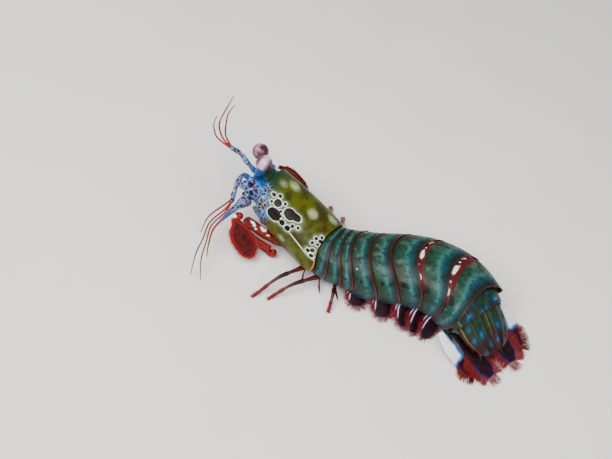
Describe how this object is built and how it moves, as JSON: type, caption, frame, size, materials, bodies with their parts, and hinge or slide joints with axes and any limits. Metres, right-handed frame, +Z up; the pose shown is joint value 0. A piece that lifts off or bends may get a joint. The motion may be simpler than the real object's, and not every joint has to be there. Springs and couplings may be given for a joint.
{
  "type": "mantis shrimp",
  "caption": "Peacock mantis shrimp, life-size still model: plated body bent in a walking pose, stalked eyes, folded striking claws, walking legs, swimmerets and a fringed tail fan.",
  "frame": {"origin": "middle of the bounding box on the floor that the feet and the tail fan rest on", "axes": "+X the way the head points and the longest extent, +Y the animal's left, +Z up"},
  "size_m": [0.1765, 0.082, 0.0497],
  "materials": {
    "carapace_shell": "olive green shell with pale spots and dark white-edged cells, satin",
    "body_shell": "teal and green plates with blue rear bands and thin red margins, satin",
    "tail_shell": "dark green with yellow-green keels and blue spots, satin",
    "head_shell": "bright blue with lavender mesh and dark spots, satin",
    "body_flesh": "dull red-brown underside, matt",
    "eye": "pink and lavender facets, glossy",
    "limb": "red limbs and feelers, satin",
    "scale": "maroon with a red fringe, satin",
    "swimmeret": "maroon and violet with pale streaks and a red fringe, satin",
    "uropod_outer": "white with a blue border, black paddle and red fringe, satin",
    "uropod_inner": "dark maroon with a blue-violet edge and deep red fringe, satin"
  },
  "bodies": {
    "root": {"carapace": "carapace_shell", "rostrum": "carapace_shell", "thorax_front": "body_flesh", "head": "head_shell", "thorax_6": "body_shell", "thorax_7": "body_shell", "thorax_8": "body_shell", "abdomen_1": "body_shell", "abdomen_2": "body_shell", "abdomen_3": "body_shell", "abdomen_4": "body_shell", "abdomen_5": "body_shell", "abdomen_6": "tail_shell", "telson": "tail_shell", "eye_stalk_l": "head_shell", "eye_l": "eye", "antennule_l": "limb", "antenna_l": "limb", "antennal_scale_l": "scale", "claw_merus_l": "limb", "claw_carpus_l": "limb", "claw_propodus_l": "limb", "claw_dactyl_l": "limb", "maxilliped_3_l": "limb", "maxilliped_4_l": "limb", "maxilliped_5_l": "limb", "leg_1_l": "limb", "leg_2_l": "limb", "leg_3_l": "limb", "pleopod_1_l": "swimmeret", "pleopod_2_l": "swimmeret", "pleopod_3_l": "swimmeret", "pleopod_4_l": "swimmeret", "pleopod_5_l": "swimmeret", "uropod_protopod_l": "tail_shell", "uropod_exopod_l": "uropod_outer", "uropod_endopod_l": "uropod_inner", "eye_stalk_r": "head_shell", "eye_r": "eye", "antennule_r": "limb", "antenna_r": "limb", "antennal_scale_r": "scale", "claw_merus_r": "limb", "claw_carpus_r": "limb", "claw_propodus_r": "limb", "claw_dactyl_r": "limb", "maxilliped_3_r": "limb", "maxilliped_4_r": "limb", "maxilliped_5_r": "limb", "leg_1_r": "limb", "leg_2_r": "limb", "leg_3_r": "limb", "pleopod_1_r": "swimmeret", "pleopod_2_r": "swimmeret", "pleopod_3_r": "swimmeret", "pleopod_4_r": "swimmeret", "pleopod_5_r": "swimmeret", "uropod_protopod_r": "tail_shell", "uropod_exopod_r": "uropod_outer", "uropod_endopod_r": "uropod_inner"}
  },
  "joints": []
}
